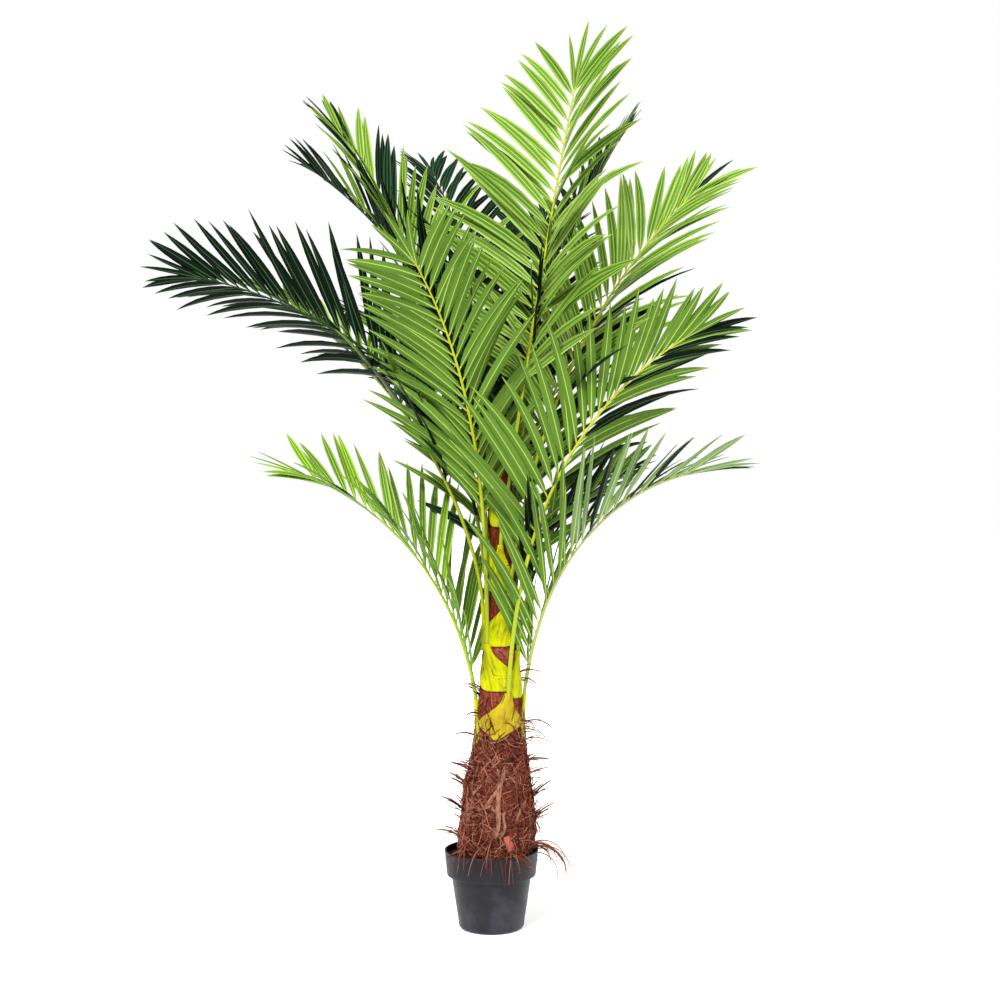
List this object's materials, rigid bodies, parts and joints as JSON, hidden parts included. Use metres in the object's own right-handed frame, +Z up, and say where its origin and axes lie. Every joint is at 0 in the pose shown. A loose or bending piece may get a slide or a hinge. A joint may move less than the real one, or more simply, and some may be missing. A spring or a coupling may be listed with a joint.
{
  "type": "artificial date palm tree",
  "caption": "Potted artificial date palm: coir-wrapped tapering trunk with clasping leaf sheaths and a full crown of arching feather fronds, in a plastic nursery pot.",
  "frame": {"origin": "centre of the pot's flat underside, on the floor", "axes": "+Z up along the trunk; -Y towards the side that faces the room; +X to the right as seen from there"},
  "size_m": [1.2069, 0.8423, 1.7933],
  "materials": {
    "pot_plastic": "satin moulded polypropylene",
    "cement": "rough cast cement",
    "coir_trunk": "shaggy red-brown coir",
    "foliage_fresh": "printed polyester leaf, satin",
    "foliage_lime": "printed polyester leaf, satin",
    "foliage_dark": "printed polyester leaf, glossy",
    "foliage_pale": "printed polyester leaf, satin"
  },
  "bodies": {
    "root": {"pot": "pot_plastic", "pot_filling": "cement", "trunk": "coir_trunk", "frond_01": "foliage_fresh", "frond_02": "foliage_fresh", "frond_03": "foliage_dark", "frond_04": "foliage_lime", "frond_05": "foliage_dark", "frond_06": "foliage_lime", "frond_07": "foliage_dark", "frond_08": "foliage_dark", "frond_09": "foliage_fresh", "frond_10": "foliage_fresh", "frond_11": "foliage_pale", "frond_12": "foliage_lime", "frond_13": "foliage_dark", "frond_14": "foliage_dark", "frond_15": "foliage_dark", "frond_16": "foliage_fresh", "frond_17": "foliage_fresh"}
  },
  "joints": []
}
